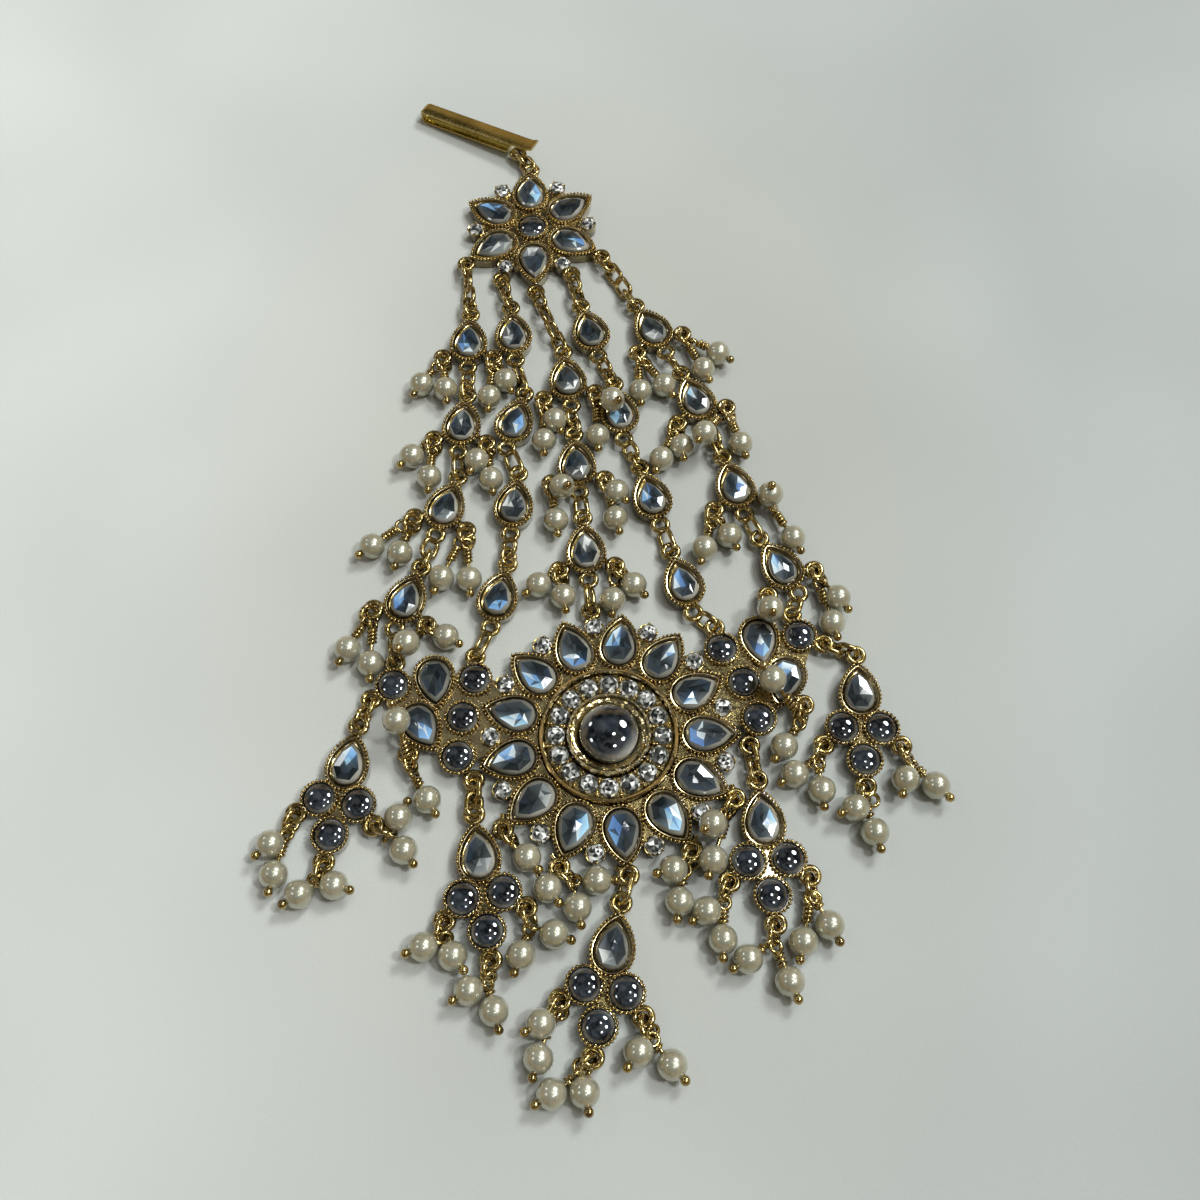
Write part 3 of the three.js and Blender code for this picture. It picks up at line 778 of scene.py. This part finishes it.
def domed(shape, place, radius, foot, girdle, height, count, levels, clear):
    """A polished dome, with painted light at two sides of its edge; clear is how strong it is."""
    rows, rims = [circle(radius, count, foot)], [1.0]
    for step in range(levels):
        angle = math.pi / 2 * step / levels
        rows.append(circle(radius * math.cos(angle), count, girdle + height * math.sin(angle)))
        rims.append(min(1.0, max(0.0, 1.1 - 1.5 * math.sin(angle))))
    start = len(shape.depths)
    shape.loft(rows, rims, place)
    for level, rim in enumerate(rims):
        for i in range(count):
            lean = math.cos(math.tau * i / count - PAINTED_LIGHT_WAY) ** 4
            shape.depths[start + level * count + i] = clear * rim * (0.08 + 0.92 * lean)


def chaton(shape, place, radius, floor):
    """A small round brilliant: a table, eight kites and a ring of break facets."""
    sides = SMALL_SIDES
    back, girdle, crown, table = [
        circle(radius * share, count * sides, floor + rise) for count, share, rise in SMALL_STONE
    ]
    turn = Matrix.Rotation(math.pi / sides, 4, "Z")
    top = UP * (floor + SMALL_STONE[-1][-1])
    points = back + girdle + crown + [turn @ point for point in table] + [top]
    low, high, top = 2 * sides, 4 * sides, 5 * sides
    faces = [list(reversed(range(low)))]
    for i in range(low):
        faces.append((i, (i + 1) % low, low + (i + 1) % low, low + i))
    for i in range(sides):
        left, middle, right = low + 2 * i, low + 2 * i + 1, low + (2 * i + 2) % low
        start, end = high + i, high + (i + 1) % sides
        before, here = top + (i - 1) % sides, top + i
        faces += [(left, middle, start), (middle, end, start), (middle, right, end)]
        faces += [(start, end, here), (start, here, before), (before, here, top + sides)]
    spin = Matrix.Rotation(chance.uniform(0, math.pi), 4, "Z")
    # Each facet is painted dark or with a glint.
    colours = [chance.choice(SPARKLE) for _ in faces]
    shape.add(points, faces, 0.0, colours, place @ spin)


# ---------- Wire work ----------

FLAT = Vector((1, 1, 0))
EYE = {"radius": 1.2, "wire": 0.48, "stem": 0.9, "stem_wire": 0.45}
JUMP = {"radius": 1.45, "wire": 0.44}
# A chain's rings: their usual length, how far they reach into each other, and their lean.
LINK = {"length": 3.1, "grip": 1.1, "lean": (0.4, 1.1)}
# A head pin: its wire and loop, the loop's lean, and how far the wire goes into the pearl.
PIN = {"wire": 0.32, "loop": 0.9, "lean": (0.2, 1.3), "into": 0.3}
# The wraps under its loop: their radius, their wire as a share of the pin's, and their turns.
WRAP = {"radius": 0.55, "share": 0.9, "turns": 4, "steps": 8}
# Under a strand's setting: how far out from its eye the pearls' ring and their loops are.
HANG_OUT, PIN_OUT = 1.2, 1.6
# Where two pearls share a ring: the ring's lean, and how far out on it their loops are.
PAIR_LEAN, PAIR_OUT = 0.6, 0.6
# How fine a pearl and a pin's head are, and how far out from the pearl the head is.
PEARL_SEGMENTS, HEAD_SEGMENTS, HEAD_OUT = 28, 14, 0.5


def hoop(middle, across, along, radius, reach=0.0, count=20):
    """A closed ring in the plane of two directions, drawn out by `reach` along the first."""
    points = []
    for i in range(count):
        angle = math.tau * (i + 0.5) / count
        point = middle + across * (radius * math.cos(angle)) + along * (radius * math.sin(angle))
        points.append(point + across * math.copysign(reach, math.cos(angle)))
    return points


def eye_paths(eyes, seats=()):
    """Each eye, with the short stem that solders it to the nearest setting if there is one."""
    paths = []
    for eye in eyes:
        ring = hoop(eye, Vector((1, 0, 0)), Vector((0, 1, 0)), EYE["radius"])
        paths.append((ring, True, EYE["wire"]))
        nearest = min(seats, key=lambda seat: (seat.middle - eye).length, default=None)
        if nearest:
            way = ((nearest.middle - eye) * FLAT).normalized()
            start = eye + way * EYE["radius"]
            paths.append(([start, start + way * EYE["stem"]], False, EYE["stem_wire"]))
    return paths


def ring_path(ring, lean):
    """An oval ring through two eyes, leaning a little from upright."""
    side = ring.way.cross(UP)
    up = UP * math.cos(lean) + side * math.sin(lean)
    radius = min(RING_RISE, ring.reach)
    return hoop(ring.middle, ring.way, up, radius, ring.reach - radius), True, JUMP["wire"]


def chain_paths(ring):
    """The oval rings that span a gap: one, or a short chain of them with their leans in turn."""
    count = max(1, round(2 * ring.reach / LINK["length"]))
    reach = (ring.reach + LINK["grip"] * (count - 1) / 2) / count
    step = 2 * (ring.reach - reach) / max(1, count - 1)
    sign = chance.choice((-1, 1))
    paths = []
    for i in range(count):
        middle = ring.middle + ring.way * (reach - ring.reach + step * i)
        lean = sign * chance.uniform(*LINK["lean"])
        paths.append(ring_path(Ring(middle, ring.way, reach), lean))
        sign = -sign
    return paths


def pin_paths(pin, start):
    """A head pin from its loop at `start`, with a few wraps, up to its pearl."""
    inner = pin.pearl - pin.way * PEARL_RADIUS
    way = inner - start
    shortest = 2 * PIN["loop"] + PIN["wire"]
    if way.length < shortest:
        # The pearl sits right at its ring, so the loop stands back along the pin, off the table.
        start = inner - pin.way * shortest
        start.z = max(start.z, PIN["loop"] + PIN["wire"])
        way = inner - start
    way = way.normalized()
    side = way.cross(UP).normalized()
    lean = chance.uniform(*PIN["lean"])
    face = UP * math.cos(lean) + side * math.sin(lean)
    loop = hoop(start + way * PIN["loop"], way, face, PIN["loop"], count=14)
    neck = start + way * (2 * PIN["loop"])
    paths = [(loop, True, PIN["wire"])]
    paths.append(([neck, inner + pin.way * PIN["into"]], False, PIN["wire"]))
    turns = min(WRAP["turns"], int((inner - neck).dot(way) / (2 * PIN["wire"])))
    if turns > 0:
        paths.append((wrap_path(neck, way, side, turns), False, PIN["wire"] * WRAP["share"]))
    return paths


def wrap_path(neck, way, side, turns):
    """The end of a pin's wire, wrapped close round its neck."""
    up = way.cross(side)
    points = []
    for i in range(WRAP["steps"] * turns + 1):
        angle = math.tau * i / WRAP["steps"]
        along = way * (2 * PIN["wire"] * i / WRAP["steps"])
        out = side * math.cos(angle) + up * math.sin(angle)
        points.append(neck + along + out * WRAP["radius"])
    return points


def pearl_pieces(name, pins, nodes=()):
    """The pearls of a group and the gold balls that end their pins."""
    fit(balls(name, pins, 0, PEARL_RADIUS, PEARL_SEGMENTS, CREAM), nodes)
    fit(balls(name + "_heads", pins, PEARL_RADIUS + HEAD_OUT, BALL, HEAD_SEGMENTS))


# ---------- The jewel's parts ----------

# The plate between settings: its height, its back, and how far a painted sheen lightens it.
WEB = {"top": 1.8, "back": 0.3, "painted_sheen": -0.3}
# The fine grains on it: their radius, and how many lie on a square millimetre.
GRAIN_RADIUS, GRAIN_DENSITY = 0.15, 1.3


def settings_and_stones(name, seats, nodes, web=None):
    """The cups of a group, their beaded edges and their stones."""
    cups, stones, domes, claws = Shape(), Shape(), Shape(), []
    size = STONE_SHARE[name.split("_")[0]]
    for seat in seats:
        setting(cups, seat)
        if seat.kind == "pear":
            faceted_pear(stones, seat, size)
        elif seat.kind == "round":
            domed(domes, rocked(seat), ROUND_SHARE * seat.width / 2, **ROUND_STONE)
        else:
            radius = SMALL_SHARE * seat.width / 2
            chaton(stones, rocked(seat), radius, SMALL_FLOOR)
            claws += [Pin(place_of(seat) @ end, UP) for end in circle(radius, 4, CLAW_HEIGHT)]
    if web:
        points, faces, _ = web
        cups.add(points, faces, WEB["painted_sheen"])
    cast(name + "_settings", cups, nodes)
    beading(name + "_beading", [edge_path(seat) for seat in seats if seat.kind in BEADED_EDGE])
    cut(name + "_stones", stones)
    if domes.faces:
        polished(name + "_domes", domes)
    if claws:
        fit(balls(name + "_claws", claws, 0, CLAW_BALL, FINE))


def web_between(node):
    """The plate between a node's settings, lowered so that the cups stand out of it."""
    faces = [face for _, patch in level_patches(node, PLATE_HEIGHT) for face in patch]
    corners = sorted({point for face in faces for point in face})
    index = {point: i for i, point in enumerate(corners)}
    upper = [[index[point] for point in face] for face in faces]
    points = [(x, y, WEB["top"]) for x, y, _ in corners]
    points += [(x, y, WEB["back"]) for x, y, _ in corners]
    under = [[i + len(corners) for i in reversed(face)] for face in upper]
    edges = {(face[i - 1], face[i]) for face in upper for i in range(len(face))}
    walls = [
        (b, a, a + len(corners), b + len(corners)) for a, b in sorted(edges) if (b, a) not in edges
    ]
    return points, upper + under + walls, upper


def granulate(name, web, seed):
    """Fine grains over a web's upper face."""
    points, _, upper = web
    mesh = bpy.data.meshes.new(name + "_surface")
    mesh.from_pydata([Vector(point) * MM for point in points], [], upper)
    inputs = {"Grain_Radius": GRAIN_RADIUS * MM, "Density": GRAIN_DENSITY / MM**2, "Seed": seed}
    fit(grow(name, mesh, GRAINS, GOLD, **inputs))


def strand(name):
    """A strand: its rings, its pear settings and, on some strands, pearls at the lower corners."""
    nodes = sorted(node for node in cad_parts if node.startswith(name))
    seats, paths, pins, hung = [], [], [], []
    for node in nodes:
        own = seats_in(node)
        eyes = eyes_in(node)
        seats += own
        paths += eye_paths(eyes, own)
        for ring in rings_in(node):
            paths += chain_paths(ring)
        for pin in pins_in(node):
            eye = min(eyes, key=lambda eye: (pin.pearl - eye).cross(pin.way).length)
            out = ((pin.pearl - eye) * FLAT).normalized()
            if eye not in hung:
                lean = (UP + out.cross(UP)).normalized()
                ring = hoop(eye + out * HANG_OUT, out, lean, JUMP["radius"])
                paths.append((ring, True, JUMP["wire"]))
                hung.append(eye)
            pins.append(pin)
            paths += pin_paths(pin, eye + out * PIN_OUT)
    settings_and_stones(name, seats, nodes)
    wires(name + "_wire", paths)
    if pins:
        pearl_pieces(name + "_pearls", pins)


def casting(name, rings=(), seed=None):
    """A casting of several settings: its stones, grains and eyes, and the rings above it."""
    seats, web = seats_in(name), web_between(name)
    settings_and_stones(name, seats, [name, *rings], web)
    if seed:
        granulate(name + "_grains", web, seed)
    paths = eye_paths(eyes_in(name), seats)
    for ring in sum(map(rings_in, rings), []):
        paths += chain_paths(ring)
    wires(name + "_wire", paths)


def drop(name):
    """A drop under the medallion: a pear over three round stones, and pearls on three rings."""
    casting(name, [name + "_ring"])
    for side in ("left", "bottom", "right"):
        hung_pearls(f"{name}_{side}_pearls")


def hung_pearls(node):
    """Pearls whose pins share a ring that hangs in an eye."""
    pins = pins_in(node)
    ring = rings_in(node)[0]
    paths = [ring_path(ring, PAIR_LEAN)]
    ends = [ring.middle + ring.way * ring.reach * share for share in (-PAIR_OUT, PAIR_OUT)]
    for pin in pins:
        end = min(ends, key=lambda end: (end - pin.pearl).cross(pin.way).length)
        paths += pin_paths(pin, end)
    wires(node + "_wire", paths)
    pearl_pieces(node.replace("pearls", "pearl_pair"), pins, [node])


# The middle of the medallion: an outer wire, a ring of small stones, and a sloped bezel with a
# hammered inside. Radius, height, and the patina and painted shade of the turned section, or its
# painted highlight where negative.
HEART_SECTION = [
    (10.5, 0.2, 0.8), (10.5, 1.95, 1.0), (10.35, 2.1, 1.0), (10.3, 2.6, 0.1), (10.2, 2.92, -0.8),
    (9.98, 3.05, -1.0), (9.76, 2.92, -0.8), (9.66, 2.6, 0.1), (9.6, 2.1, 1.0), (9.45, 1.95, 0.3),
    (9.2, 1.95, -0.2), (6.8, 1.95, -0.2), (6.45, 1.95, 0.8),
    (6.3, 2.3, 0.8), (6.22, 2.9, 0.2), (6.15, 3.3, -0.5), (6.02, 3.52, -1.0), (5.86, 3.52, -1.0),
    (5.74, 3.3, -0.3), (5.66, 3.1, 0.9), (5.5, 3.08, 0.3), (5.3, 3.05, -0.6), (5.1, 2.95, -0.6),
    (4.9, 2.85, -0.2), (4.7, 2.7, 0.1), (4.5, 2.5, 0.4), (4.3, 2.1, 0.9),
]
HEART_STEPS = 96
# The hammered part, between two radii, and how deep and how close its marks are.
HAMMERED, HAMMER_DEPTH, HAMMER_SCALE = (4.6, 5.6), 0.3, 2.2
PAVE = {"stones": 16, "at": 7.9, "radius": 1.42, "floor": 2.15}
# The grains that hold its ring of small stones: their circles' radii, height and size.
PAVE_GRAINS = {"at": (6.75, 7.2, 8.75, 9.15), "height": 2.3, "ball": 0.3}
# The centre stone: its girdle over its foot, and how far it tucks under the bezel.
CENTRE_GIRDLE, CENTRE_TUCK = 1.2, 0.1


def medallion():
    """The medallion with its wings, its middle, and the pearls round it."""
    casting("medallion", seed=5)
    low, high = (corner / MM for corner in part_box("centre_stone"))
    middle = Vector(((low.x + high.x) / 2, (low.y + high.y) / 2, 0))
    medallion_heart(middle)
    medallion_pave(middle)
    dome, radius = Shape(), (high.x - low.x) / 2 + CENTRE_TUCK
    girdle, height = low.z + CENTRE_GIRDLE, high.z - low.z - CENTRE_GIRDLE
    domed(dome, Matrix.Translation(middle), radius, low.z, girdle, height, 64, 14, 1.0)
    polished("centre_dome", dome, ["centre_stone"])
    for node in sorted(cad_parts):
        if node.startswith(("rim_pearls", "wing_")):
            hung_pearls(node)


def medallion_heart(middle):
    """The turned middle of the medallion, hammered inside its bezel."""
    rows = []
    for radius, z, _ in HEART_SECTION:
        row = circle(radius, HEART_STEPS, z)
        if HAMMERED[0] < radius < HAMMERED[1]:
            row = [p + UP * HAMMER_DEPTH * noise.noise(p * HAMMER_SCALE) for p in row]
        rows.append(row)
    heart = Shape()
    heart.loft(rows, [depth for _, _, depth in HEART_SECTION], Matrix.Translation(middle))
    cast("medallion_heart", heart)


def medallion_pave(middle):
    """The ring of small stones round the bezel, and the grains between them."""
    stones, grains = Shape(), []
    for i in range(PAVE["stones"]):
        spin = Matrix.Rotation(math.tau * i / PAVE["stones"], 4, "Z")
        place = Matrix.Translation(middle) @ spin @ Matrix.Translation((PAVE["at"], 0, 0))
        chaton(stones, place, PAVE["radius"], PAVE["floor"])
        angle = math.tau * (i + 0.5) / PAVE["stones"]
        way = Vector((math.cos(angle), math.sin(angle), 0))
        for radius in PAVE_GRAINS["at"]:
            grains.append(Pin(middle + way * radius + UP * PAVE_GRAINS["height"], UP))
    cut("medallion_pave", stones)
    fit(balls("medallion_pave_grains", grains, 0, PAVE_GRAINS["ball"], FINE))


# The hook, in its own place: the middle of its bend from the centre stone, and its strip.
HOOK = {
    "bend": (-35.6, 125.8), "turn": -28, "pitch": -3.2, "length": 25.2, "eye_arm": 19.6,
    "thickness": 0.6, "gap": 1.6, "width": 2.8, "flare": 0.5, "flare_length": 1.2,
}
# The bend's steps, and how far it is rounded in plan.
BEND_STEPS, BEND_ROUNDING = 24, 0.72
# The strip's rounded section: how far across it from its middle, and how far through it.
STRIP_SECTION = [
    (1.0, 0.65), (1.0, 0.35), (0.92, 0.1), (0.76, 0.0), (-0.76, 0.0), (-0.92, 0.1),
    (-1.0, 0.35), (-1.0, 0.65), (-0.92, 0.9), (-0.76, 1.0), (0.76, 1.0), (0.92, 0.9),
]


def hook_sides():
    """The strip's outer and inner side, from its flared tip round the bend to its eye."""
    inner, outer = HOOK["gap"] / 2, HOOK["gap"] / 2 + HOOK["thickness"]
    tip, knee = HOOK["length"], HOOK["length"] - HOOK["flare_length"]
    outside = [(tip, outer + HOOK["flare"]), (knee, outer)]
    inside = [(tip, inner + HOOK["flare"]), (knee, inner)]
    for i in range(BEND_STEPS + 1):
        angle = math.radians(90 + 180 * i / BEND_STEPS)
        outside.append((outer + outer * math.cos(angle), outer * math.sin(angle)))
        inside.append((outer + inner * math.cos(angle), inner * math.sin(angle)))
    outside.append((HOOK["eye_arm"], -outer))
    inside.append((HOOK["eye_arm"], -inner))
    return outside, inside, outer


def hook():
    """The hook: a flat strip folded into a long narrow U, one arm over the other."""
    outside, inside, outer = hook_sides()
    rows = []
    for a, b in zip(outside, inside):
        off = max(0.0, 1 - a[0] / outer)
        half = HOOK["width"] / 2 * math.sqrt(1 - BEND_ROUNDING * off * off)
        rows.append([
            Vector((a[0] + (b[0] - a[0]) * through, half * across, a[1] + (b[1] - a[1]) * through))
            for across, through in STRIP_SECTION
        ])
    shape = Shape()
    shape.loft(rows)
    pitch = Matrix.Rotation(math.radians(HOOK["pitch"]), 4, "Y")
    lift = -min((pitch @ point).z for point in shape.points)
    centre = sum(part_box("centre_stone"), Vector()) / 2 / MM
    bend = Vector((centre.x + HOOK["bend"][0], centre.y + HOOK["bend"][1], lift))
    place = Matrix.Translation(bend) @ Matrix.Rotation(math.radians(HOOK["turn"]), 4, "Z") @ pitch
    made = piece("hook_strip", [place @ point for point in shape.points], shape.faces, BRONZE, 30)
    fit(made, ["hook"])
    wires("hook_eye", eye_paths(eyes_in("hook")))


hook()
casting("flower", ["hook_ring"], seed=3)
for number in range(1, 6):
    strand(f"strand_{number}")
medallion()
for number in range(1, 6):
    drop(f"drop_{number}")

# ---------- Table, lamps and camera ----------

REACH = 1500
corners = [(-REACH, -REACH, 0), (REACH, -REACH, 0), (REACH, REACH, 0), (-REACH, REACH, 0)]
table = piece("table", corners, [(0, 1, 2, 3)], table_top())

# Each lamp: the way to it from the medallion, its width as a share of its distance, and strength.
LAMPS = {
    "right": ((0.50, -0.06, 0.86), 0.13, 2.0),
    "right_back": ((0.46, 0.46, 0.76), 0.26, 2.5),
    "overhead": ((0.16, 0.12, 0.98), 0.1, 0.2),
    "overhead_front": ((0.22, -0.34, 0.92), 0.12, 0.25),
    "left_back": ((-0.61, 0.48, 0.64), 0.16, 0.22),
    "left": ((-0.64, -0.12, 0.76), 0.16, 0.22),
}
# Light from the bright half of the room. It softens the shadows, and nothing mirrors it.
ROOM_LIGHT = ((0.36, 0.24, 0.90), 0.9, 2.4)
LAMP_DISTANCE = 1400
LAMP_POWER = 3.9
LAMP_COLOUR = (0.94, 0.98, 1.0)
# The room that the gold mirrors: its light from level to straight up, and what breaks it up.
ROOM = [
    (0.0, (0.33, 0.20, 0.07, 1)), (0.5, (0.28, 0.20, 0.09, 1)),
    (0.7, (0.03, 0.03, 0.028, 1)), (0.9, (0.15, 0.145, 0.13, 1)),
]
CLUTTER = [(0.42, (0.12, 0.12, 0.12, 1)), (0.56, (1.7, 1.8, 2.0, 1)), (0.7, (0.9, 0.8, 0.6, 1))]


def lamp(name, way, width, strength):
    data = bpy.data.lights.new(name, "AREA")
    data.shape = "DISK"
    data.size = width * LAMP_DISTANCE * MM
    data.energy = strength * LAMP_POWER
    data.color = LAMP_COLOUR
    made = bpy.data.objects.new(name, data)
    scene.collection.objects.link(made)
    towards = Vector(way).normalized()
    made.location = towards * LAMP_DISTANCE * MM
    made.rotation_euler = towards.to_track_quat("Z", "Y").to_euler()
    return made


def room():
    """The world: the room's light by height, times its clutter."""
    world = bpy.data.worlds.new("room")
    world.use_nodes = True
    tree = Tree(world.node_tree)
    tree.net.nodes.clear()
    towards = tree.add("ShaderNodeTexCoord").outputs["Generated"]
    height = tree.add("ShaderNodeSeparateXYZ", {"Vector": towards}).outputs["Z"]
    inputs = {"Vector": towards, "Scale": 2.6, "Detail": 2.0}
    patches = tree.add("ShaderNodeTexNoise", inputs).outputs["Fac"]
    shades = {0: tree.ramp(height, *ROOM), 1: tree.ramp(patches, *CLUTTER)}
    inputs = {"Color": tree.vector("MULTIPLY", shades), "Strength": 1.0}
    tree.add("ShaderNodeOutputWorld", {"Surface": tree.add("ShaderNodeBackground", inputs)})
    return world


for name, (way, width, strength) in LAMPS.items():
    lamp("lamp_" + name, way, width, strength)
lamp("room_light", *ROOM_LIGHT).visible_glossy = False
scene.world = room()
scene.view_settings.view_transform = "Standard"

camera = bpy.data.objects.new("camera", bpy.data.cameras.new("camera"))
scene.collection.objects.link(camera)
camera.data.sensor_width, camera.data.lens = 36.0, 34.5
camera.data.clip_start = 0.005
camera.location = Vector((-0.9, -89.29, 165.0)) * MM
camera.rotation_euler = (math.radians(24.3), 0, 0)
scene.camera = camera
